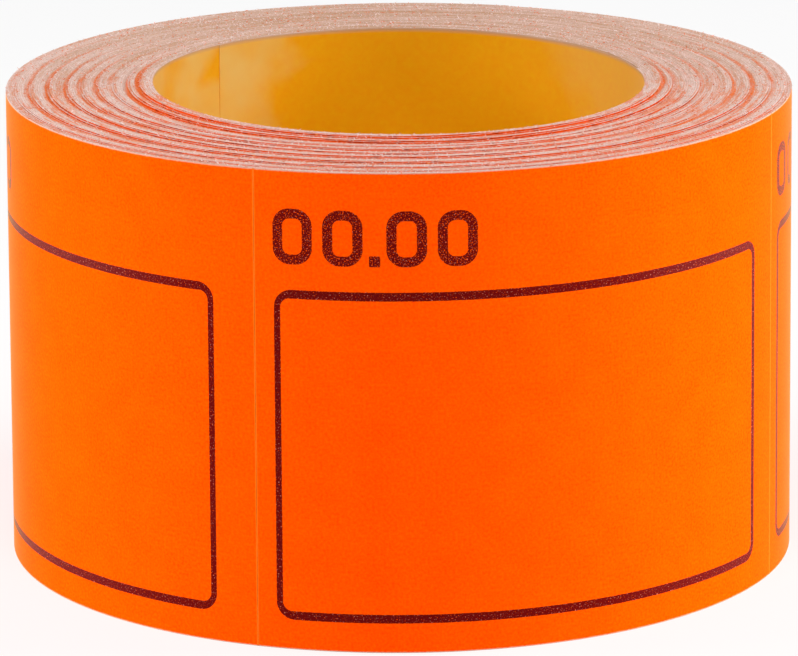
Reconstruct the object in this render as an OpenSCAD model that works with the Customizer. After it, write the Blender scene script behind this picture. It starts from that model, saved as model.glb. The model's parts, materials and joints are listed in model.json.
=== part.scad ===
// Roll of self-adhesive price labels. One release liner is wound on itself
// without a core and carries a row of die-cut labels on its outer face.
// The roll stands on z = 0, and Z is the axis of its open centre.
// Seen from above, the strip winds outwards clockwise.

/* [Roll] */
// Diameter of the open centre, measured over the innermost half loop
bore_d = 41.6; // [34:0.1:80]
// Whole loops of the strip, before the last part of a loop
full_loops = 23; // [4:1:23]
// Radial step from one loop to the next
loop_step = 0.556; // [0.52:0.002:1.2]
// Where the strip starts on the bore, anticlockwise from +X
inner_end_angle = 138.5; // [90:0.1:180]
// Where the strip ends on the outside, anticlockwise from +X
outer_end_angle = 73.6; // [0:0.1:89]

/* [Liner] */
// Width of the liner, which is the height of the standing roll
liner_w = 40; // [20:0.5:80]
// Thickness of the release liner
liner_t = 0.06; // [0.04:0.005:0.1]
// Gap across the bend line where the free tail leaves the roll
bend_gap = 0.1; // [0.05:0.01:0.12]

/* [Labels] */
// Length of one label along the strip
label_l = 51.25; // [20:0.25:70]
// Thickness of one label
label_t = 0.1; // [0.06:0.005:0.14]
// Die-cut gap between one label and the next
die_gap = 0.15; // [0.13:0.01:0.5]
// Gap that the release coating leaves under a label
release_gap = 0.02; // [0.015:0.005:0.04]
// Bare liner above and below each label
edge_margin = 0.1; // [0.05:0.05:1]

/* [Hidden] */
$fa = 4;
$fs = 0.5;

label_colour = [0.98, 0.34, 0.02];
liner_colour = [0.84, 0.56, 0.12];

// The winding is drawn in half loops about two centres, half a step apart,
// so that it is one smooth spiral of true arcs. A position on it is counted
// in half loops from the inner end. Radii and angles of arcs are in whole
// thousandths, so that the end faces of two arcs that meet match.
function thousandths(value) = round(value * 1000) / 1000;
half_step = thousandths(loop_step / 2);
bore_r = thousandths(bore_d / 2);
last_loop_share = (inner_end_angle - outer_end_angle) / 360;
strip_end = 2 * (full_loops + last_loop_share);

// Radius of the liner's inner face, and the centre's place, in half loop k
function half_loop_r(k) = bore_r + k * half_step;
function half_loop_x(k) = (k % 2) * half_step;

// Length of strip up to a position, and the position at a length of strip
function strip_length(at) =
    let (k = floor(at))
    PI * (k * bore_r + half_step * k * (k - 1) / 2 + (at - k) * half_loop_r(k));
function half_loop_at(length) =
    let (b = bore_r - half_step / 2)
    floor((sqrt(b * b + 2 * half_step * length / PI) - b) / half_step);
function position_at(length) =
    let (k = half_loop_at(length))
    k + (length - strip_length(k)) / (PI * half_loop_r(k));

// Point of the winding at a position, at a depth outwards of the inner face
function strip_point(at, depth) =
    let (k = floor(at), r = half_loop_r(k) + depth)
    [half_loop_x(k) + r * cos(180 * at), -r * sin(180 * at)];

// Label 1 is the outermost, at the free end of the strip
strip_l = strip_length(strip_end);
label_pitch = label_l + die_gap;
label_count = floor(strip_l / label_pitch);
function label_lead(i) = position_at(strip_l - die_gap / 2 - (i - 1) * label_pitch);
function label_trail(i) = position_at(strip_l + die_gap / 2 - i * label_pitch);
function label_middle(i) = position_at(strip_l - (i - 0.5) * label_pitch);

// Loop that a label's middle lies in, counted from the outside
function label_loop(i) = 1 + floor((strip_end - label_middle(i)) / 2);
outer_labels = [for (i = [1 : label_count]) if (label_loop(i) == 1) i];
inner_loops = [2 : label_loop(label_count)];

label_depth = thousandths(liner_t + release_gap);
outer_depth = label_depth + label_t;
tail_start = label_trail(1);
roll_end = position_at(strip_length(tail_start) - bend_gap);

// Band that follows the winding between two positions
module wound_band(from, to, depth, thickness, bottom, height) {
    rotate(inner_end_angle)
    for (k = [floor(from) : ceil(to) - 1]) {
        first = thousandths(180 * max(from - k, 0));
        last = thousandths(180 * min(to - k, 1));
        if (last > first)
            translate([half_loop_x(k), 0])
            rotate_extrude(start = -180 * (k % 2) - last, angle = last - first)
            translate([half_loop_r(k) + depth, bottom])
            square([thickness, height]);
    }
}

module liner(from, to) {
    color(liner_colour)
    wound_band(from, to, 0, liner_t, 0, liner_w);
}

module label(i) {
    color(label_colour)
    wound_band(
        label_trail(i), label_lead(i), label_depth, label_t,
        edge_margin, liner_w - 2 * edge_margin
    );
}

// Wound liner, from the bore to the bend line of the tail
module liner_roll() {
    liner(0, roll_end);
}

// Free end of the liner, under the outermost label
module liner_tail() {
    liner(tail_start, strip_end);
}

// Labels of one loop that lies under the outermost one
module labels_loop(n) {
    for (i = [1 : label_count])
        if (label_loop(i) == n) label(i);
}

// Least gap of the liner to its own next loop, measured on points
gap_step = 0.05;
gap_reach = 0.2;
liner_gap = min([
    for (at = [0 : gap_step : strip_end - 2 - gap_reach])
        for (next = [at + 2 - gap_reach : gap_step / 2 : at + 2 + gap_reach])
            norm(strip_point(next, 0) - strip_point(at, liner_t))
]);
echo(liner_gap = liner_gap, loops = strip_end / 2, strip_l = strip_l, labels = label_count);

// Bend lines, on the outer face at each outer label's trailing edge
function turned(p, a) = [p.x * cos(a) - p.y * sin(a), p.x * sin(a) + p.y * cos(a)];
for (i = outer_labels)
    echo(bend_line = i, xy = turned(strip_point(label_trail(i), outer_depth), inner_end_angle));

liner_roll();
liner_tail();
for (i = outer_labels)
    label(i);
for (n = inner_loops)
    labels_loop(n);
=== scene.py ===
# %% [markdown]
# # A roll of self-adhesive price labels
#
# The object is a strip of amber release paper, the liner, with a row of orange labels stuck on
# its outer side. The strip is wound on itself without a core and stands on one cut edge. This
# lesson makes it as the factory does: a straight strip is laid out flat, then wound up.
# First the imported model is loaded. Its box is kept and printed at the end.

# %% Load the frame
import json
import math

import bpy
from mathutils import Matrix, Vector


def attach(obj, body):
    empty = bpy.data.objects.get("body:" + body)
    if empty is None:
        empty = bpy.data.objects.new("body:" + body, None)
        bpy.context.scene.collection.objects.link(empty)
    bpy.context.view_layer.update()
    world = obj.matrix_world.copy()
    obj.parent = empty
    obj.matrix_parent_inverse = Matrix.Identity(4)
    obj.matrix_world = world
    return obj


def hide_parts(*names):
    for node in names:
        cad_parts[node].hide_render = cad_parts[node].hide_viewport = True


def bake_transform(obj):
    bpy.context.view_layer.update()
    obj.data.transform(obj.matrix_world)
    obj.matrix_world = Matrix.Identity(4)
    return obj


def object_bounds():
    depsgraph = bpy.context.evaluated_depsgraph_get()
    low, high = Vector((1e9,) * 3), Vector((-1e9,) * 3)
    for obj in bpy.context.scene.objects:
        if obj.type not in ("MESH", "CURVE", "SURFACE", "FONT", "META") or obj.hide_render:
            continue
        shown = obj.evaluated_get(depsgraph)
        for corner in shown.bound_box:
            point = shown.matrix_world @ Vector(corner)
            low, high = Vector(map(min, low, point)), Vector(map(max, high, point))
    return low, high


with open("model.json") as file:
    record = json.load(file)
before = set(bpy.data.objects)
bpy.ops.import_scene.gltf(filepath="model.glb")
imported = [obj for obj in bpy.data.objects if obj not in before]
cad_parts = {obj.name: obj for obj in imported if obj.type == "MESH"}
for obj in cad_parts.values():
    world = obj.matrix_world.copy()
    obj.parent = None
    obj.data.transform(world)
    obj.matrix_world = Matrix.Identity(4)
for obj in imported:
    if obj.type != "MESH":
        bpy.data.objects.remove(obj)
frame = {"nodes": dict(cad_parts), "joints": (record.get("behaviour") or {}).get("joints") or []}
cad_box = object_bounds()

# %% [markdown]
# ## Sizes
#
# Everything follows from a few sizes of the real roll, in millimetres: its height, the radius of
# its open centre, the radius of its face towards the viewer, the paper's thickness and the length
# of a label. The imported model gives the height. The number of loops is what fits between the two
# radii with paper this thin, and the step from loop to loop is worked out from it.

# %% Sizes of the strip and the roll
MM = 0.001
ROLL_H = (cad_box[1] - cad_box[0]).z
BORE_R = 20.88 * MM
FRONT_R = 33.47 * MM
LINER_T = 0.065 * MM
LABEL_T = 0.122 * MM
WHOLE_LOOPS = 64
INNER_END = math.radians(138.5)
OUTER_END = math.radians(72.73)
FRONT = math.radians(270)

TURN = 2 * math.pi
loops = WHOLE_LOOPS + (INNER_END - OUTER_END) / TURN
loops_at_front = loops - (FRONT - OUTER_END) / TURN
loop_step = (FRONT_R - BORE_R - LINER_T - LABEL_T) / loops_at_front
growth = loop_step / TURN  # radius gained for each radian
wall_mm = loops * loop_step / MM


def strip_length(turned):
    """Length of strip wound on after so many loops."""
    angle = turned * TURN
    return BORE_R * angle + loop_step * angle ** 2 / (2 * TURN)


strip_l = strip_length(loops)
print(f"{loops:.2f} loops, {loop_step / MM:.4f} mm apart, {strip_l:.2f} m of strip")

# %% [markdown]
# ## Labels along the strip
#
# The labels are numbered from the free end of the strip. A die cuts the face paper across, so one
# label follows the next with only a hairline between them. Labels 1 to 4 lie on the outermost
# loop and can be peeled, so each is a piece of its own. All others are made together.

# %% Places of the labels
LABEL_L = 51.37 * MM
DIE_GAP = 0.03 * MM
OUTER_LABELS = 4

label_pitch = LABEL_L + DIE_GAP
label_count = int(strip_l // label_pitch)
strip_w = ROLL_H


def label_start(number):
    """Strip length at a label's trailing edge, the one nearer the inner end."""
    return strip_l - number * label_pitch + DIE_GAP / 2


bend_at = strip_l - label_pitch
print(label_count, "labels, of which", OUTER_LABELS, "are on the outer loop")

# %% [markdown]
# ## Camera
#
# The camera stands where the photograph's did: in front, about 15 degrees above the horizon and
# about half a metre away, with a long lens. A long lens keeps the two rims of the roll almost the
# same ellipse. The frame is 798 by 656 pixels, and the middle of the roll sits a little above the
# frame's middle, so the camera aims slightly below it.

# %% Camera
IMAGE_W = 798
LENS_PX = 5926
SENSOR_W = 36
DISTANCE = 509.1 * MM
ELEVATION = math.radians(14.671)
AIM = Vector((-0.16, 0, 18.46)) * MM
CAMERA_ROLL = -0.0066

camera = bpy.data.objects.new("camera", bpy.data.cameras.new("camera"))
bpy.context.scene.collection.objects.link(camera)
bpy.context.scene.camera = camera
camera.data.sensor_width = SENSOR_W
camera.data.lens = SENSOR_W * LENS_PX / IMAGE_W
camera.data.clip_start = 10 * MM
back_off = Vector((0, -math.cos(ELEVATION), math.sin(ELEVATION))) * DISTANCE
camera.location = Vector((0, 0, ROLL_H / 2)) + back_off
look = (AIM - camera.location).to_track_quat("-Z", "Y").to_matrix().to_4x4()
turn = look @ Matrix.Rotation(CAMERA_ROLL, 4, "Z")
camera.rotation_euler = turn.to_euler()
print(f"lens {camera.data.lens:.0f} mm")

# %% [markdown]
# ## Shader and node kit
#
# Nodes are tidier to write as sums than as a list of links. One small class wraps a socket and
# turns Python's operators into Math nodes, and one method adds any other node. A few short methods
# stand for the nodes that come up often. All of it serves the materials and the Geometry Nodes tree.


# %% Kit for node trees
class Wire:
    """An output socket. Arithmetic on it adds Math nodes to its tree."""

    def __init__(self, socket):
        self.socket = socket

    def math(self, operation, *others, clamp=False):
        """A Math node that takes this wire first."""
        values = dict(enumerate((self, *others)))
        settings = {"operation": operation, "use_clamp": clamp}
        return Tree(self.socket.id_data).node("ShaderNodeMath", settings, values)

    def reversed_math(self, operation, other):
        """A Math node that takes this wire second."""
        settings = {"operation": operation}
        return Tree(self.socket.id_data).node("ShaderNodeMath", settings, {0: other, 1: self})

    def __add__(self, other):
        return self.math("ADD", other)

    def __sub__(self, other):
        return self.math("SUBTRACT", other)

    def __rsub__(self, other):
        return self.reversed_math("SUBTRACT", other)

    def __mul__(self, other):
        return self.math("MULTIPLY", other)

    def __truediv__(self, other):
        return self.math("DIVIDE", other)

    def __rtruediv__(self, other):
        return self.reversed_math("DIVIDE", other)

    def __pow__(self, other):
        return self.math("POWER", other)

    def __gt__(self, other):
        return self.math("GREATER_THAN", other)

    def __lt__(self, other):
        return self.math("LESS_THAN", other)

    def __abs__(self):
        return self.math("ABSOLUTE")

    __radd__ = __add__
    __rmul__ = __mul__

    def at_least(self, other):
        return self.math("MAXIMUM", other)

    def at_most(self, other):
        return self.math("MINIMUM", other)

    def clamped(self):
        return self.math("ADD", 0.0, clamp=True)

    def above(self, level, slope):
        """0 up to a level, then rising at a slope to 1."""
        return ((self - level) * slope).clamped()


class Tree:
    """A node tree that grows one node per call."""

    def __init__(self, tree):
        self.tree = tree

    def node(self, kind, settings=None, values=None, out=0):
        """Adds a node: first its settings, then the values or links of its sockets."""
        made = self.tree.nodes.new(kind)
        for name, value in (settings or {}).items():
            setattr(made, name, value)
        for name, value in (values or {}).items():
            self.feed(made.inputs[name], value)
        if isinstance(out, tuple):
            return tuple(Wire(made.outputs[name]) for name in out)
        return Wire(made.outputs[out])

    def feed(self, socket, value):
        """Links a wire, or each of a list of them, to a socket, or sets its value."""
        if isinstance(value, list):
            for each in value:
                self.feed(socket, each)
        elif isinstance(value, Wire):
            self.tree.links.new(value.socket, socket)
        else:
            socket.default_value = value

    def parts(self, vector):
        """The three parts of a vector."""
        return self.node("ShaderNodeSeparateXYZ", None, {0: vector}, ("X", "Y", "Z"))

    def vector(self, x, y, z=0.0):
        """A vector of three parts."""
        return self.node("ShaderNodeCombineXYZ", None, {0: x, 1: y, 2: z})

    def mix(self, share, a, b):
        """The first colour, with a share of the second mixed in."""
        settings = {"data_type": "RGBA"}
        return self.node("ShaderNodeMix", settings, {0: share, 6: a, 7: b}, out=2)

    def noise(self, vector, scale, detail=2.0, roughness=0.5):
        """Smooth noise around a half."""
        values = {"Vector": vector, "Scale": scale, "Detail": detail, "Roughness": roughness}
        return self.node("ShaderNodeTexNoise", None, values)

    def bump(self, height, strength, distance, **more):
        """A bump of some height, for a shader's Normal."""
        values = {"Height": height, "Strength": strength, "Distance": distance}
        return self.node("ShaderNodeBump", None, values | more)

    def stored(self, geometry, name, value, domain, kind="FLOAT"):
        """Geometry with a named attribute added to it."""
        settings = {"data_type": kind, "domain": domain}
        values = {"Geometry": geometry, "Name": name, "Value": value}
        return self.node("GeometryNodeStoreNamedAttribute", settings, values)


print("node kit ready")

# %% [markdown]
# ## Studio
#
# The photograph has a plain white background and light that comes mostly from both sides, so the
# roll is brightest along its left and right outlines. Two wide lamps no taller than the roll give
# that without touching its top. Two fill lamps higher up reach into the open centre, and a soft
# lamp above and a weak white world light the rest. Stronger lamps could make the background white,
# but then every colour would have to be written too dark. So the lamps stay at a plain level, and
# the floor partly shines by itself where it is seen directly. It still shows the roll's shadow.

# %% World, floor and lamps
WORLD_LEVEL = 0.32
FLOOR_SEEN = 0.95
FLOOR_BOUNCE = 0.35
FLOOR_GLOW = 0.7
FLOOR_SIZE = 6
LAMPS = (  # name, azimuth and elevation in degrees, distance, width and height in metres, watts
    ("right_lamp", 100, 0, 0.6, 0.5, 0.04, 3.9),
    ("left_lamp", -104, 0, 0.6, 0.5, 0.04, 3.15),
    ("right_fill", 95, 25, 0.7, 0.3, 0.2, 2.2),
    ("left_fill", -95, 23, 0.7, 0.3, 0.2, 1.6),
    ("top_lamp", 0, 55, 0.7, 0.4, 0.4, 2.6),
)


def seen_directly(tree):
    """1 for rays that show the background itself: from the camera, a mirror or glass."""
    names = ("Is Camera Ray", "Is Glossy Ray", "Is Transmission Ray")
    camera_ray, glossy, through = tree.node("ShaderNodeLightPath", out=names)
    return camera_ray.at_least(glossy).at_least(through)


def make_world():
    """White all round, weaker as a light than where it is seen directly."""
    world = bpy.data.worlds.new("studio_world")
    world.use_nodes = True
    world.node_tree.nodes.clear()
    tree = Tree(world.node_tree)
    level = WORLD_LEVEL + (1 - WORLD_LEVEL) * seen_directly(tree)
    white = {"Color": (1, 1, 1, 1), "Strength": level}
    surface = tree.node("ShaderNodeBackground", None, white)
    tree.node("ShaderNodeOutputWorld", None, {"Surface": surface}, out=())
    bpy.context.scene.world = world


def make_floor():
    """A white floor that partly shines by itself where it is seen directly."""
    material = bpy.data.materials.new("studio_floor")
    material.use_nodes = True
    material.node_tree.nodes.clear()
    tree = Tree(material.node_tree)
    seen = seen_directly(tree)
    white = tree.mix(seen, (FLOOR_BOUNCE,) * 3 + (1,), (FLOOR_SEEN,) * 3 + (1,))
    paper = tree.node("ShaderNodeBsdfDiffuse", None, {"Color": white})
    glow = tree.node("ShaderNodeEmission", None, {"Color": (1, 1, 1, 1), "Strength": 1.0})
    surface = tree.node("ShaderNodeMixShader", None, {0: seen * FLOOR_GLOW, 1: paper, 2: glow})
    tree.node("ShaderNodeOutputMaterial", None, {"Surface": surface}, out=())
    bpy.ops.mesh.primitive_plane_add(size=FLOOR_SIZE)
    floor = bpy.context.object
    floor.name = "studio_floor"
    floor.data.materials.append(material)


def make_lamp(name, azimuth, elevation, distance, width, height, power):
    """A soft lamp aimed at the roll. Azimuth 0 is the viewer's side, 90 the right."""
    lamp = bpy.data.objects.new(name, bpy.data.lights.new(name, "AREA"))
    bpy.context.scene.collection.objects.link(lamp)
    lamp.data.shape = "RECTANGLE"
    lamp.data.size = width
    lamp.data.size_y = height
    lamp.data.energy = power
    a, e = math.radians(azimuth), math.radians(elevation)
    towards = Vector((math.sin(a) * math.cos(e), -math.cos(a) * math.cos(e), math.sin(e)))
    lamp.location = towards * distance + Vector((0, 0, ROLL_H / 2))
    lamp.rotation_euler = towards.to_track_quat("Z", "Y").to_euler()


make_world()
make_floor()
for lamp in LAMPS:
    make_lamp(*lamp)
bpy.context.scene.view_settings.view_transform = "Standard"
print("studio ready with", len(LAMPS), "lamps")

# %% [markdown]
# ## Print on the labels
#
# A frame and a row of numerals are printed on each label. The print could be an image, but a
# shader can draw it from a formula: the distance to a rounded box. Inside a large box and outside
# a smaller one lies the frame's line, and the same rule draws a zero. Folding the plane twice, with
# two absolute values, makes four zeros out of one. Ink on a coated paper misses the pits between
# the fibres, which leaves orange pinholes in it. All places and widths of the print are in
# millimetres on the flat label, from its lower left corner.

# %% Shapes of the print
PRINT_EDGE = 0.06
LEAST_CORNER = 0.2


def rounded_box(x, y, half_w, half_h, corner):
    """Signed distance to a box with round corners, centred on x = y = 0."""
    dx = abs(x) - (half_w - corner)
    dy = abs(y) - (half_h - corner)
    outside = (dx.at_least(0) ** 2 + dy.at_least(0) ** 2) ** 0.5
    return outside + dx.at_least(dy).at_most(0) - corner


def printed(distance):
    """1 inside a printed shape, with a soft edge."""
    return (0.5 - distance / PRINT_EDGE).clamped()


def printed_ring(x, y, half_w, half_h, line_x, line_y, corner):
    """A printed rounded box with a hole, which leaves lines of two widths."""
    outer = printed(rounded_box(x, y, half_w, half_h, corner))
    hole_corner = max(corner - max(line_x, line_y), LEAST_CORNER)
    hole = rounded_box(x, y, half_w - line_x, half_h - line_y, hole_corner)
    return outer - outer * printed(hole)


print("printed edges are", PRINT_EDGE, "mm soft")

# %% Frame and numerals
FRAME_LEFT, FRAME_RIGHT = 1.65, 47.75
FRAME_TOP, FRAME_BOTTOM = 30.2, 2.5
FRAME_LINE_X, FRAME_LINE_Y = 0.53, 0.73
FRAME_CORNER = 1.5

NUMERAL_W, NUMERAL_H = 3.25, 4.6
NUMERAL_STROKE, NUMERAL_CORNER = 0.82, 1.4
NUMERAL_GAP, POINT_GAP = 0.85, 0.5
NUMERAL_POINT, POINT_CORNER = 0.9, 0.1
NUMERALS_X, NUMERALS_Y = 9.9, 34.6

PRINT_RAGGED = 0.09
PIT_DEPTH = 0.8


def label_print(tree, x, y):
    """Share of ink at a place on the label, in millimetres from its lower left corner."""
    ragged = (tree.noise(tree.vector(x, y), 7.0) - 0.5) * PRINT_RAGGED
    mid_x, mid_y = (FRAME_LEFT + FRAME_RIGHT) / 2, (FRAME_TOP + FRAME_BOTTOM) / 2
    half_w, half_h = (FRAME_RIGHT - FRAME_LEFT) / 2, (FRAME_TOP - FRAME_BOTTOM) / 2
    border = printed_ring(
        x - mid_x + ragged, y - mid_y + ragged, half_w, half_h,
        FRAME_LINE_X, FRAME_LINE_Y, FRAME_CORNER,
    )
    from_point = abs(x - NUMERALS_X + ragged)
    pair_middle = (NUMERAL_POINT + NUMERAL_GAP) / 2 + POINT_GAP + NUMERAL_W
    from_pair = abs(from_point - pair_middle) - (NUMERAL_W + NUMERAL_GAP) / 2
    up = y - NUMERALS_Y + ragged
    zeros = printed_ring(
        from_pair, up, NUMERAL_W / 2, NUMERAL_H / 2,
        NUMERAL_STROKE, NUMERAL_STROKE, NUMERAL_CORNER,
    )
    half_dot = NUMERAL_POINT / 2
    from_dot = up + NUMERAL_H / 2 - half_dot
    point = printed(rounded_box(from_point, from_dot, half_dot, half_dot, POINT_CORNER))
    heading = zeros.at_least(point)
    grain = tree.noise(tree.vector(x, y, 3.0), 9.0, 1.0)
    border = border - border * grain.above(0.66, 14) * PIT_DEPTH
    heading = heading - heading * grain.above(0.59, 16) * PIT_DEPTH
    return border.at_least(heading)


print(f"frame of {FRAME_RIGHT - FRAME_LEFT:.1f} by {FRAME_TOP - FRAME_BOTTOM:.1f} mm")

# %% [markdown]
# ## Label paper
#
# The face of a label is bright orange coated paper, printed in dark maroon. Its own UV map carries
# the drawing, so it bends with the label. The coating is a day-glow orange, which turns some of the
# light it takes in into more red light. A weak red emission stands for that, and ink stops it. It is
# a painted glow that shines even where no lamp falls, and it lets the lamps stay lower.
# The knife that slits the roll bares pale fibres along a label's upper and lower rim. On the outer
# labels that pale rim is also a painted highlight where the edge catches the light. On the covered
# labels that rim shows only as a line between two loops, painted as shade and dust in the crevice,
# darker and brighter in dashes, so they get a face of their own.


# %% Kit for materials
def new_material(name):
    """A material with one Principled shader: its tree, and a function that feeds the shader."""
    material = bpy.data.materials.new(name)
    material.use_nodes = True
    shader = material.node_tree.nodes["Principled BSDF"]
    tree = Tree(material.node_tree)

    def finish(**values):
        for socket, value in values.items():
            tree.feed(shader.inputs[socket.replace("_", " ")], value)
        return material

    return tree, finish


def strip_uv(tree):
    """Place on a piece of strip: its share of the length from the left and of the height."""
    u, v, _ = tree.parts(tree.node("ShaderNodeUVMap", {"uv_map": "UVMap"}))
    return u, v


print("material kit ready")

# %% Label face
LABEL_L_MM = LABEL_L / MM
LABEL_H_MM = strip_w / MM
ORANGE = (1.0, 0.16, 0.0004, 1)
ORANGE_DEEP = (0.98, 0.088, 0.0002, 1)
# painted glow: a constant red emission, partly for the day-glow coating, partly standing in for light
PAINTED_RED_GLOW = (1.0, 0.0, 0.0, 1)
NO_GLOW = (0, 0, 0, 1)
PAINTED_GLOW_LEVEL = 0.36
FACE_SHEEN = (1.0, 0.66, 0.26, 1)
INK = (0.18, 0.0008, 0.0003, 1)
INK_GLINT = (0.85, 0.24, 0.16, 1)
# pale rim of the outer labels: bared fibres, and partly a painted highlight where the edge catches
# the light
FIBRE_AND_HIGHLIGHT = (0.96, 0.46, 0.29, 1)
# rims of the covered labels: painted shade and some dust in the crevice between two loops, in dashes
SHADED_RIM = (0.88, 0.10, 0.010, 1)
DEEP_SHADED_RIM = (0.50, 0.04, 0.005, 1)
RIM_H, COVERED_RIM_H = 0.07, 0.25
CUT_LINE = (1.0, 0.25, 0.012, 1)
CUT_LINE_W = 0.08


def make_label_face(name, rim_h, rim_dark, rim_bright):
    """Printed face of a label, with rims so many millimetres high that are dashes of two colours."""
    tree, finish = new_material(name)
    u, v = strip_uv(tree)
    x, y = u * LABEL_L_MM, v * LABEL_H_MM
    ink = label_print(tree, x, y)
    fine = tree.noise(tree.vector(x, y), 4.5, 1.0)
    cloudy = tree.noise(tree.vector(x, y, 9.0), 0.35, 2.0)
    mottle = ((fine - 0.5) * 2.0 + (cloudy - 0.5) * 0.5 + 0.5).clamped()
    colour = tree.mix(mottle, ORANGE, ORANGE_DEEP)
    glint = tree.noise(tree.vector(x, y, 6.0), 8.0, 1.0).above(0.64, 9)
    colour = tree.mix(ink, colour, tree.mix(glint, INK, INK_GLINT))
    # rim colour, partly painted: outer labels get a highlight over fibres, covered ones shade in the
    # crevice
    to_rim = y.at_most(LABEL_H_MM - y)
    rim = (1.5 - (to_rim + (fine - 0.5) * rim_h) / rim_h).clamped()
    dashes = tree.noise(tree.vector(x, y * 4, 12.0), 1.3, 2.0).above(0.4, 9)
    colour = tree.mix(rim, colour, tree.mix(dashes, rim_dark, rim_bright))
    to_cut = x.at_most(LABEL_L_MM - x)
    colour = tree.mix((1.4 - to_cut / CUT_LINE_W).clamped(), colour, CUT_LINE)
    roughness = 0.75 - ink * 0.2 + (fine - 0.5) * 0.16
    # painted glow, stopped by the ink and by the rim
    painted_glow = tree.mix(ink.at_least(rim), PAINTED_RED_GLOW, NO_GLOW)
    normal = tree.bump(fine * 0.6 + ink * 0.25, 0.12, 0.03 * MM)
    return finish(
        Base_Color=colour, Roughness=roughness, Normal=normal, Specular_IOR_Level=0.0,
        Coat_Weight=ink * 0.4, Coat_Roughness=0.3, Coat_IOR=1.25,
        Emission_Color=painted_glow, Emission_Strength=PAINTED_GLOW_LEVEL,
        Sheen_Weight=1.0, Sheen_Roughness=0.23, Sheen_Tint=FACE_SHEEN,
    )


label_face = make_label_face("label_face", RIM_H, FIBRE_AND_HIGHLIGHT, FIBRE_AND_HIGHLIGHT)
covered_face = make_label_face("covered_label_face", COVERED_RIM_H, DEEP_SHADED_RIM, SHADED_RIM)
for face in (label_face, covered_face):
    print(face.name, len(face.node_tree.nodes), "nodes")

# %% [markdown]
# ## Cut edges
#
# The cut edges of labels and liner are what the roll's flat ends show: hundreds of paper edges,
# pale pink and beige, fuzzy and stained with orange where the knife dragged the coating along. One
# noise in bands follows the loops, a finer one makes threads, and a third makes specks. The low
# places of the grain get painted shade. Where a loop lies at the foot of a higher one, its edge gets
# painted shade too, and an orange that is partly coating and partly painted orange light thrown
# down by the proud face. Seen this low, the loose fibres hide about half of the edges, so one
# pattern of stains and painted light colours both.

# %% Pattern of the cut edges
STAIN_DEPTH = 0.75


def object_mm(tree):
    """Place on the object, in millimetres."""
    place = tree.node("ShaderNodeTexCoord", None, None, "Object")
    return tree.node("ShaderNodeVectorMath", {"operation": "SCALE"}, {0: place, "Scale": 1 / MM})


def edge_pattern(tree):
    """What all cut edges share: place, direction, bands, threads, ledges and orange stains, with
    painted shade and partly painted orange light at the foot of ledges.
    """
    place = object_mm(tree)
    x, y, _ = tree.parts(place)
    radius = (x * x + y * y) ** 0.5
    across, ahead = x / radius, y / radius
    bands = tree.noise(tree.vector(across, ahead, radius * 0.9), 1.3, 2.0)
    threads = tree.noise(tree.vector(across * 9, ahead * 9, radius * 4), 1.0, 2.0)
    specks = tree.noise(place, 2.6, 2.0)
    foot = tree.node("ShaderNodeAttribute", {"attribute_name": "foot"}, None, "Fac")
    # at the foot of a ledge: painted shade, and orange that is partly coating, partly painted orange
    # light
    ledge_foot = (foot * 6 + (threads - 0.5) * 1.5 * (foot > 0.02)).clamped()
    towards = (0.5 - ahead * 0.7).clamped() * (1 + ahead * 0.75) * bands.above(0.3, 5)
    spots = (specks + bands * 0.6 + threads * 0.4).above(1.2, 8) * STAIN_DEPTH
    flank = (1 - abs(ahead + 0.45) * 1.5).clamped()
    smear = (threads * 1.2 + bands * 0.8).above(0.94, 5) * flank * STAIN_DEPTH
    stain_and_orange_light = spots.at_least(smear).at_least(ledge_foot * towards * 1.9).clamped()
    return place, ahead, bands, threads, ledge_foot, stain_and_orange_light


print(f"specks and smears hide up to {STAIN_DEPTH:.0%} of the paper's colour")

# %% Cut edges and fuzz
EDGE_PALE = (0.82, 0.58, 0.52, 1)
EDGE_TAN = (0.60, 0.35, 0.235, 1)
EDGE_SHADE = (0.34, 0.12, 0.055, 1)
EDGE_STAIN_AND_ORANGE_LIGHT = (0.85, 0.17, 0.028, 1)
LINER_EDGE = (0.72, 0.50, 0.41, 1)
DIE_EDGE = (0.62, 0.20, 0.04, 1)
FUZZ_PALE = (0.95, 0.82, 0.80, 1)


def make_cut_edge(name, pale):
    """Fuzzy cut paper: paler and browner loops, fine grain with painted shade in its pits, painted
    shade at the foot of ledges, and orange stains that are partly painted orange light.
    """
    tree, finish = new_material(name)
    place, ahead, bands, threads, ledge_foot, stain_and_orange_light = edge_pattern(tree)
    grain = tree.noise(place, 5.0, 2.0, 0.6)
    browner = (bands - 0.4) * 2.5 + (threads - 0.5) * 2 + (grain - 0.5) * 2.5 + ahead * 0.3
    colour = tree.mix(browner.clamped(), pale, EDGE_TAN)
    colour = tree.mix(((0.43 - grain) * 7).clamped() * 0.7, colour, EDGE_SHADE)
    # painted shade at the foot of a ledge
    colour = tree.mix(ledge_foot * 0.4, colour, EDGE_TAN)
    colour = tree.mix(stain_and_orange_light, colour, EDGE_STAIN_AND_ORANGE_LIGHT)
    normal = tree.bump(grain, 0.6, 0.05 * MM)
    return finish(Base_Color=colour, Roughness=0.85, Normal=normal, Specular_IOR_Level=0.2)


def make_fuzz():
    """Loose fibres on the cut edges: most are bare paper, some carry orange coating, which at the
    foot of ledges is partly painted orange light.
    """
    tree, finish = new_material("paper_fuzz")
    tint = tree.node("ShaderNodeAttribute", {"attribute_name": "tint"}, None, "Fac")
    *_, stain_and_orange_light = edge_pattern(tree)
    colour = tree.mix(tint ** 2, FUZZ_PALE, EDGE_TAN)
    coated = tint.above(0.84, 20).at_least(stain_and_orange_light * 0.65)
    colour = tree.mix(coated, colour, EDGE_STAIN_AND_ORANGE_LIGHT)
    return finish(Base_Color=colour, Roughness=0.9, Specular_IOR_Level=0.2)


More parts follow.
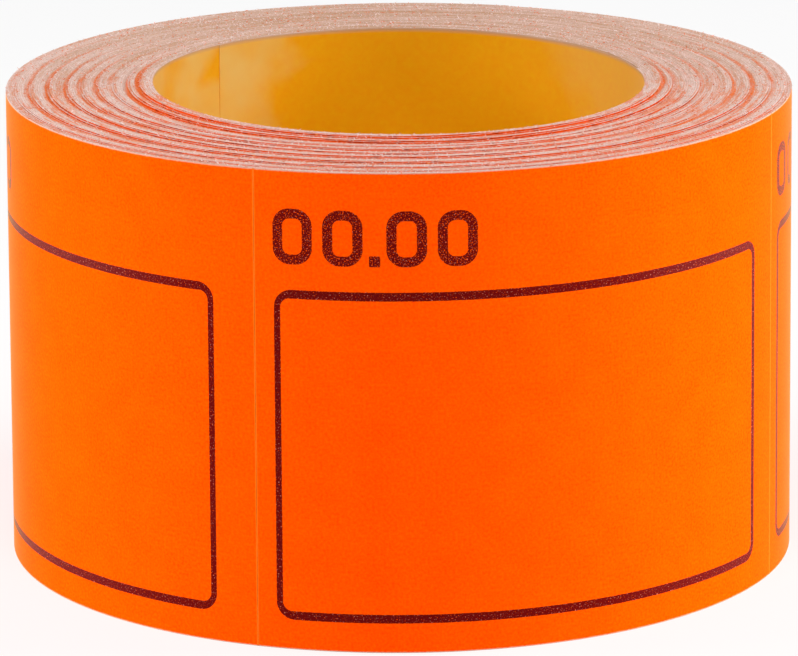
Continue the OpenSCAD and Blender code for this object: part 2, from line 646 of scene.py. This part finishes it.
label_edge = make_cut_edge("label_cut_edge", EDGE_PALE)
die_edge = make_cut_edge("label_die_edge", DIE_EDGE)
liner_edge = make_cut_edge("liner_cut_edge", LINER_EDGE)
fuzz = make_fuzz()
print("edges:", [material.name for material in (label_edge, die_edge, liner_edge, fuzz)])

# %% [markdown]
# ## Back of a label and liner
#
# The back of a label carries a thin film of adhesive over white paper. The liner is amber glassine,
# smooth enough to mirror the light softly. Long waves in it bend those reflections, so its bump has
# a low wide wave as well as a fine one. On the innermost loop a pale haze at a few places is a
# painted reflection of the lamps, and next to the loop's end that painted reflection is left out.

# %% Back of a label
ADHESIVE = (0.72, 0.64, 0.52, 1)
ADHESIVE_THICK = (0.64, 0.54, 0.40, 1)


def make_label_back():
    """Adhesive on paper, thicker in some places."""
    tree, finish = new_material("label_back")
    u, v = strip_uv(tree)
    smear = tree.noise(tree.vector(u * LABEL_L_MM, v * LABEL_H_MM), 0.5, 3.0)
    colour = tree.mix(smear, ADHESIVE, ADHESIVE_THICK)
    normal = tree.bump(smear, 0.15, 0.03 * MM)
    return finish(Base_Color=colour, Roughness=0.3 + smear * 0.25, Normal=normal)


label_back = make_label_back()
print(label_back.name, len(label_back.node_tree.nodes), "nodes")

# %% Liner
AMBER = (0.93, 0.39, 0.0003, 1)
AMBER_LIGHT = (0.94, 0.49, 0.0006, 1)
# painted reflection of the lamps, seen as a pale haze on a few places of the innermost loop
AMBER_PAINTED_REFLECTION = (0.88, 0.61, 0.17, 1)
AMBER_RIM = (0.62, 0.38, 0.22, 1)
AMBER_RIM_H = 0.35
AMBER_SHEEN = (1.0, 0.9, 0.6, 1)
PAINTED_REFLECTION_PLACES = (  # direction, how narrow, how much narrower per millimetre down, and strength
    (math.radians(140), 0.905, 0.002, 1.0),
    (math.radians(8), 0.68, 0.02, 0.27),
    (math.radians(178), 0.93, 0.0, 0.8),
)
PAINTED_REFLECTION_SLOPE = 7
UNREFLECTED_W, UNREFLECTED_H = 0.15, 3.4  # radians from the strip's inner end, and millimetres from the top
UNREFLECTED_SLOPE = 12


def make_liner():
    """Amber glassine, with a painted reflection as a pale haze at a few places of the innermost loop.
    """
    tree, finish = new_material("liner_glassine")
    place = object_mm(tree)
    x, y, z = tree.parts(place)
    fibres = tree.noise(place, 1.6, 4.0, 0.65)
    waves = tree.noise(tree.vector(x, y, z * 0.6), 0.16, 1.0)
    colour = tree.mix(fibres.above(0.3, 1.8), AMBER, AMBER_LIGHT)
    radius = (x * x + y * y) ** 0.5
    clouds = (tree.noise(place, 0.22, 2.0) - 0.5) * 0.2
    innermost = radius < BORE_R / MM + 1
    below = LABEL_H_MM - z
    # next to the strip's inner end the painted reflection is left out
    past_end = y.math("ARCTAN2", x) - INNER_END
    reach = (below / UNREFLECTED_H + 0.3).at_most(1) * UNREFLECTED_W
    unreflected = (past_end > 0) * ((reach - past_end) * UNREFLECTED_SLOPE + 0.3).clamped()
    unreflected = unreflected * (UNREFLECTED_H - below + clouds * UNREFLECTED_SLOPE).clamped()
    # each place gets a painted reflection, narrower further down the wall
    for turned, edge, lean, weight in PAINTED_REFLECTION_PLACES:
        near = (x * math.cos(turned) + y * math.sin(turned)) / radius
        painted_reflection = ((near + clouds - edge - below * lean) * PAINTED_REFLECTION_SLOPE).clamped() * weight
        colour = tree.mix(painted_reflection * (1 - unreflected) * innermost, colour, AMBER_PAINTED_REFLECTION)
    _, v = strip_uv(tree)
    to_rim = v.at_most(1 - v) * LABEL_H_MM
    colour = tree.mix((1 - to_rim / AMBER_RIM_H).clamped(), colour, AMBER_RIM)
    normal = tree.bump(waves, 0.5, 0.5 * MM, Normal=tree.bump(fibres, 0.05, 0.02 * MM))
    return finish(
        Base_Color=colour, Roughness=0.3 + fibres * 0.12, Normal=normal, Specular_IOR_Level=0.4,
        Sheen_Weight=0.15, Sheen_Roughness=0.4, Sheen_Tint=AMBER_SHEEN,
    )


liner = make_liner()
print(liner.name, len(liner.node_tree.nodes), "nodes")

# %% [markdown]
# ## Winding with Geometry Nodes
#
# Modelling 64 loops by hand would be hopeless, and one formula does it. The tree lays straight
# pieces of strip in a row along X, as many as asked for, then moves every point onto the spiral:
# the length along the strip gives the angle, the angle gives the radius, and the thickness and the
# width stay what they were. The same tree winds the liner as one long piece and the labels as a
# row of short ones, so both always lie on each other.
#
# A real roll isn't level on top. Each loop lies a little higher or lower than the one before, and
# where an inner loop stands proud, its orange face shows as a line. A curve sets these ledges by
# depth, a slow noise makes each loop differ, and at one place a few loops have slipped down. How
# much higher the loops just inwards stand is stored as the attribute "foot". The cut edges read it:
# at the foot of a ledge they get painted shade, and an orange that is partly coating dragged along by
# the knife and partly painted orange light thrown down by the proud face.

# %% Ledges by depth
LEDGES = (  # depth from the outside and rise of the next loop inwards, in millimetres
    (0.5, 0.10), (1.8, 0.18), (3.4, 0.20), (5.1, 0.17), (6.4, 0.12), (7.6, 0.15),
    (8.8, 0.08), (10.1, 0.24), (11.1, 0.24),
)
LEDGE_RUN = 0.34  # depth over which a ledge rises
CROWN = 0.30  # rise of the whole top, from the outside to the open centre
OUTER_PLAY = 0.03  # height of the outermost loop above its lowest place


def ledge_points():
    """Height of the loops by share of the wall: a fall between ledges and a rise at each."""
    rises = sum(rise for _, rise in LEDGES)
    fall = (rises - CROWN) / (wall_mm - LEDGE_RUN * len(LEDGES))
    points, height, depth = [(0.0, OUTER_PLAY)], OUTER_PLAY, 0.0
    for at, rise in LEDGES:
        height -= fall * (at - depth)
        points.append((at, height))
        height += rise
        depth = at + LEDGE_RUN
        points.append((depth, height))
    points.append((wall_mm, height - fall * (wall_mm - depth)))
    return [(1 - at / wall_mm, max(height, 0.0)) for at, height in points][::-1]


play = ledge_points()
heights = [height for _, height in play]
print(f"play from {min(heights):.3f} to {max(heights):.3f} mm")

# %% Axial play of the loops
LEDGE_DRIFT = 1.0  # how far a ledge may wander in depth, in millimetres
FOOT_W = 0.5  # how far inwards the foot of a ledge looks for its top, in millimetres
LEVEL_SWELL = 0.12 * MM
LOOP_WANDER = 0.08 * MM
LOOSE_DEPTH = 2  # the loops outside this depth are held tighter
TILT = 0.14 * MM
SLIP_ANGLE, SLIP_FADE = 0.0, 1.1  # radians
SLIP_FROM, SLIP_TO = 5.0, 7.2  # depths of the loops that slipped
SLIP_DROP = 0.12 * MM


def play_at(tree, depth):
    """Height of the loops at a depth, in millimetres, as a curve."""
    curve = tree.node("ShaderNodeFloatCurve", None, {"Value": 1 - depth / wall_mm})
    points = curve.socket.node.mapping.curves[0].points
    while len(points) < len(play):
        points.new(0.5, 0.5)
    for point, (at, height) in zip(points, play):
        point.location = (at, height)
        point.handle_type = "VECTOR"
    curve.socket.node.mapping.update()
    return curve


def axial_play(tree, along, turned, polar):
    """Height of a loop above its lowest place, and how far the loops inwards overtop it."""
    depth = wall_mm - turned * (loop_step / MM)
    x, y = polar.math("COSINE"), polar.math("SINE")
    drift = tree.noise(tree.vector(x, y, depth * 0.2), 1.1, 1.0) - 0.5
    swell = tree.noise(tree.vector(x * 1.5, y * 1.5, depth * 0.5 + 7.0), 1.3, 1.0) - 0.5
    wander = tree.node(
        "ShaderNodeTexNoise", {"noise_dimensions": "1D"},
        {"W": along / MM, "Scale": 0.16, "Detail": 3.0, "Roughness": 0.62},
    )
    drifted = depth + drift * LEDGE_DRIFT
    level = play_at(tree, drifted)
    foot = play_at(tree, drifted + FOOT_W) - level
    inside = (depth > SLIP_FROM) * (depth < SLIP_TO)
    behind = (SLIP_ANGLE - polar).math("WRAP", TURN, 0.0)
    slip = (1 - behind / SLIP_FADE).clamped() * inside * SLIP_DROP
    loose = (depth / LOOSE_DEPTH).at_most(1)
    height = level * MM + (swell * LEVEL_SWELL + (wander - 0.5) * LOOP_WANDER) * loose - slip
    height = height - x * depth * (TILT / wall_mm)
    return height.at_least(0), foot


print(f"loops {SLIP_FROM} to {SLIP_TO} mm deep slipped by {SLIP_DROP / MM:.2f} mm")

# %% [markdown]
# The knife leaves short loose fibres on the cut edges. They could be painted, but from this low
# they break up the light and the outline, so they are real: tiny leaning cones, scattered over the
# upper edges with a fixed seed. Each stores a random tint for its material.

# %% Fuzz on the cut edges
FUZZ_L, FUZZ_W = 0.22 * MM, 0.07 * MM
FUZZ_SIDES = 3
FUZZ_LEAN = 0.8, 1.5  # radians from upright
FUZZ_SCALE = 0.5, 1.3
FUZZ_SEED = 11
FUZZ_PER_MM2 = 14


def add_fuzz(tree, strip, edges, density, material):
    """Scatters short fibres over the upper cut edges."""
    least_lean, most_lean = FUZZ_LEAN
    least, most = FUZZ_SCALE
    _, _, upwards = tree.parts(tree.node("GeometryNodeInputNormal"))
    points = tree.node(
        "GeometryNodeDistributePointsOnFaces", None,
        {
            "Mesh": strip, "Selection": edges * (upwards > 0.5), "Density": density,
            "Seed": FUZZ_SEED,
        },
    )
    fibre = tree.node(
        "GeometryNodeMeshCone", None,
        {
            "Vertices": FUZZ_SIDES, "Radius Top": 0.0, "Radius Bottom": FUZZ_W / 2,
            "Depth": FUZZ_L,
        },
    )
    rotation = tree.node(
        "FunctionNodeRandomValue", {"data_type": "FLOAT_VECTOR"},
        {0: (least_lean, 0, 0), 1: (most_lean, 0, TURN), "Seed": FUZZ_SEED},
    )
    number = {"data_type": "FLOAT"}
    scale = tree.node("FunctionNodeRandomValue", number, {2: least, 3: most, "Seed": FUZZ_SEED}, 1)
    tint = tree.node("FunctionNodeRandomValue", number, {2: 0.0, 3: 1.0, "Seed": FUZZ_SEED + 1}, 1)
    loose = tree.node(
        "GeometryNodeInstanceOnPoints", None,
        {"Points": points, "Instance": fibre, "Rotation": rotation, "Scale": scale},
    )
    loose = tree.stored(loose, "tint", tint, "INSTANCE")
    loose = tree.node("GeometryNodeRealizeInstances", None, {"Geometry": loose})
    return tree.node("GeometryNodeSetMaterial", None, {"Geometry": loose, "Material": material})


print(FUZZ_PER_MM2, "fibres on each square millimetre of edge")

# %% [markdown]
# Now the tree itself. Its inputs are the sizes of one straight piece, the number of pieces and
# their materials. Before the strip is wound, each face still points along an axis, so that is
# where its side is stored: face, back, end or cut edge. The materials are set by it at the end.


# %% Straight pieces in a row
def straight_row(tree, value):
    """Straight pieces of strip along X, with the side and the UV map of their faces stored."""
    size = tree.vector(value("Piece Length"), value("Thickness"), value("Width"))
    strip = tree.node(
        "GeometryNodeMeshCube", None,
        {"Size": size, "Vertices X": value("Cuts") + 1, "Vertices Y": 2, "Vertices Z": 2},
    )
    middle = tree.vector(
        value("Piece Length") / 2, value("Thickness") / 2 + value("Lift"),
        value("Width") / 2 + value("Bottom"),
    )
    strip = tree.node("GeometryNodeSetPosition", None, {"Geometry": strip, "Offset": middle})
    ahead, facing, _ = tree.parts(tree.node("GeometryNodeInputNormal"))
    side = (facing > 0.5) - (facing < -0.5) + 2 * (abs(ahead) > 0.5)
    strip = tree.stored(strip, "side", side, "FACE")
    x, _, z = tree.parts(tree.node("GeometryNodeInputPosition"))
    uv = tree.vector(1 - x / value("Piece Length"), (z - value("Bottom")) / value("Width"))
    strip = tree.stored(strip, "UVMap", uv, "CORNER", "FLOAT2")
    corner = tree.node("GeometryNodeInputMeshEdgeAngle") > 1.0
    strip = tree.node("GeometryNodeSetShadeSmooth", None, {"Geometry": strip, "Shade Smooth": True})
    strip = tree.node(
        "GeometryNodeSetShadeSmooth", {"domain": "EDGE"},
        {"Geometry": strip, "Selection": corner, "Shade Smooth": False},
    )
    row = tree.node(
        "GeometryNodeMeshLine", None,
        {
            "Count": value("Pieces"), "Start Location": tree.vector(value("Start"), 0.0),
            "Offset": tree.vector(value("Pitch"), 0.0),
        },
    )
    strip = tree.node("GeometryNodeInstanceOnPoints", None, {"Points": row, "Instance": strip})
    return tree.node("GeometryNodeRealizeInstances", None, {"Geometry": strip})


print(f"all labels in a row are {label_count * label_pitch:.2f} m long")

# %% Onto the spiral
START_RUN = 25 * MM  # length over which the inner end is pressed to the next loop
FLARE = 0.2 * MM  # how much wider the roll is at its foot than at its top, in radius


def onto_spiral(tree, strip):
    """Moves every point of a straight row to its place on the wound roll."""
    along, out, up = tree.parts(tree.node("GeometryNodeInputPosition"))
    angle = ((BORE_R ** 2 + 2 * growth * along) ** 0.5 - BORE_R) / growth
    polar = INNER_END - angle
    pressed = (1 - along / START_RUN).at_least(0) ** 2 * (loop_step - LINER_T)
    radius = BORE_R + growth * angle + out + pressed + (0.5 - up / strip_w) * FLARE
    rise, foot = axial_play(tree, along, angle / TURN, polar)
    place = tree.vector(radius * polar.math("COSINE"), radius * polar.math("SINE"), up + rise)
    strip = tree.stored(strip, "foot", foot, "POINT")
    return tree.node("GeometryNodeSetPosition", None, {"Geometry": strip, "Position": place})


print(f"the loops make a wall of {wall_mm:.2f} mm")

# %% Winding tree
def new_input(group, name, kind, default=None):
    """Adds an input to the tree's interface."""
    socket = group.interface.new_socket(name, in_out="INPUT", socket_type=kind)
    if default is not None:
        socket.default_value = default


def make_winding_tree():
    """The tree that lays out straight pieces of strip, winds them and sets their materials."""
    group = bpy.data.node_groups.new("wind_strip", "GeometryNodeTree")
    new_input(group, "Pieces", "NodeSocketInt", 1)
    for name in ("Piece Length", "Pitch", "Start", "Lift", "Thickness", "Bottom", "Width"):
        new_input(group, name, "NodeSocketFloat", 0.0)
    new_input(group, "Cuts", "NodeSocketInt", 50)
    new_input(group, "Fuzz Density", "NodeSocketFloat", 0.0)
    for name in ("Face", "Back", "Edge", "End", "Fuzz"):
        new_input(group, name, "NodeSocketMaterial")
    group.interface.new_socket("Geometry", in_out="OUTPUT", socket_type="NodeSocketGeometry")
    tree = Tree(group)
    given = group.nodes.new("NodeGroupInput")

    def value(name):
        return Wire(given.outputs[name])

    strip = onto_spiral(tree, straight_row(tree, value))
    side = tree.node("GeometryNodeInputNamedAttribute", {"data_type": "FLOAT"}, {"Name": "side"})
    chosen_faces = (
        ("Edge", None), ("Face", side > 0.5), ("End", side > 1.5), ("Back", side < -0.5)
    )
    for name, chosen in chosen_faces:
        values = {"Geometry": strip, "Material": value(name)}
        if chosen is not None:
            values["Selection"] = chosen
        strip = tree.node("GeometryNodeSetMaterial", None, values)
    loose = add_fuzz(tree, strip, abs(side) < 0.5, value("Fuzz Density"), value("Fuzz"))
    whole = tree.node("GeometryNodeJoinGeometry", None, {"Geometry": [strip, loose]})
    tree.node("NodeGroupOutput", None, {"Geometry": whole}, out=())
    return group


winding = make_winding_tree()
print(winding.name, len(winding.nodes), "nodes")


# %% Wind one piece
tree_inputs = {s.name: s.identifier for s in winding.interface.items_tree if s.in_out == "INPUT"}
print("inputs of the tree:", ", ".join(tree_inputs))


def wind(name, **inputs):
    """Winds pieces of strip with the tree, as a plain mesh object."""
    carrier = bpy.data.objects.new("carrier", bpy.data.meshes.new("carrier"))
    bpy.context.scene.collection.objects.link(carrier)
    modifier = carrier.modifiers.new("winding", "NODES")
    modifier.node_group = winding
    for key, value in inputs.items():
        modifier[tree_inputs[key.replace("_", " ")]] = value
    ready = bpy.context.evaluated_depsgraph_get()
    mesh = bpy.data.meshes.new_from_object(
        carrier.evaluated_get(ready), preserve_all_data_layers=True, depsgraph=ready
    )
    bpy.data.objects.remove(carrier)
    mesh.name = name
    piece = bpy.data.objects.new(name, mesh)
    bpy.context.scene.collection.objects.link(piece)
    print(f"{name}: {len(mesh.polygons)} faces")
    return piece


# %% Liner and labels
LINER_SEGMENT = 1.0 * MM
LABEL_SEGMENT = 0.75 * MM
LINER_RECESS = 0.008 * MM  # how far the liner's cut edges lie behind those of the labels


def wind_liner(name, start, end):
    """Winds the liner between two places along the strip."""
    return wind(
        name, Pieces=1, Piece_Length=end - start, Pitch=0.0, Start=start,
        Lift=0.0, Thickness=LINER_T, Bottom=LINER_RECESS, Width=strip_w - 2 * LINER_RECESS,
        Cuts=round((end - start) / LINER_SEGMENT),
        Face=liner, Back=liner, Edge=liner_edge, End=liner,
    )


def wind_labels(name, first, last, face):
    """Winds a row of labels, from one number to another."""
    return wind(
        name, Pieces=last - first + 1, Piece_Length=LABEL_L, Pitch=label_pitch,
        Start=label_start(last), Lift=LINER_T, Thickness=LABEL_T,
        Bottom=0.0, Width=strip_w, Cuts=round(LABEL_L / LABEL_SEGMENT),
        Fuzz_Density=FUZZ_PER_MM2 / MM ** 2,
        Face=face, Back=label_back, Edge=label_edge, End=die_edge, Fuzz=fuzz,
    )


print(f"the liner bends every {LINER_SEGMENT / MM:.2f} mm, a label every {LABEL_SEGMENT / MM:.2f} mm")

# %% [markdown]
# ## Pieces
#
# Now the strip is wound: the liner with all its covered labels, the free tail of the liner, and
# the four labels on the outer loop. Each piece stands for its solids in the imported model, which
# are hidden. The liner and the covered labels are attached to the roll's body.

# %% Wound pieces
liner_winding = wind_liner("liner_winding", 0.0, bend_at)
inner_labels = wind_labels("inner_labels", OUTER_LABELS + 1, label_count, covered_face)
covered = [node for node in frame["nodes"] if node.startswith("labels_loop_")]
for piece, body, nodes, slot in (
    (liner_winding, "roll", ["liner_roll"], "liner_paper"),
    (inner_labels, "roll", covered, "label_paper"),
):
    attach(piece, body)
    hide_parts(*nodes)

# %% [markdown]
# Paper that is lifted doesn't swing like a door: it stays where it is held and curls away from
# there. Here the free tail of the liner and the outer labels are only wound in place on the outer
# loop. Points at the tail's bend line and a little further on, and at nearly half a label's length,
# are worked out but not used.

# %% Free tail
TAIL_FOLD = 1.5 * MM


def strip_point(along, lift=0.0):
    """Point on the wound strip at half its width, so far along and out from the liner's back."""
    angle = (math.sqrt(BORE_R ** 2 + 2 * growth * along) - BORE_R) / growth
    radius = BORE_R + growth * angle + lift
    polar = INNER_END - angle
    return Vector((radius * math.cos(polar), radius * math.sin(polar), ROLL_H / 2))


tail = wind_liner("free_tail", bend_at, strip_l)
strip_point(bend_at)
strip_point(bend_at + TAIL_FOLD)
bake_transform(tail)
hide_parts("liner_tail")

# %% Outer labels
PEEL_SHARE = 0.45
hinges = {joint["child"]: joint for joint in frame["joints"]}

for number in range(1, OUTER_LABELS + 1):
    body = f"label_{number}"
    piece = wind_labels(f"outer_label_{number}", number, number, label_face)
    edge = label_start(number)
    start = strip_point(edge, LINER_T + LABEL_T)
    end = strip_point(edge + PEEL_SHARE * LABEL_L, LINER_T + LABEL_T)
    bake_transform(piece)
    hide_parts(body)
    drift = (start - Vector(hinges[body]["pos_m"])).to_2d().length
    print(f"{body}: drawn edge lies {drift / MM:.2f} mm from its bend line")

# %% Size of the imported model
print("CAD box:", [tuple(round(n / MM, 2) for n in c) for c in cad_box])
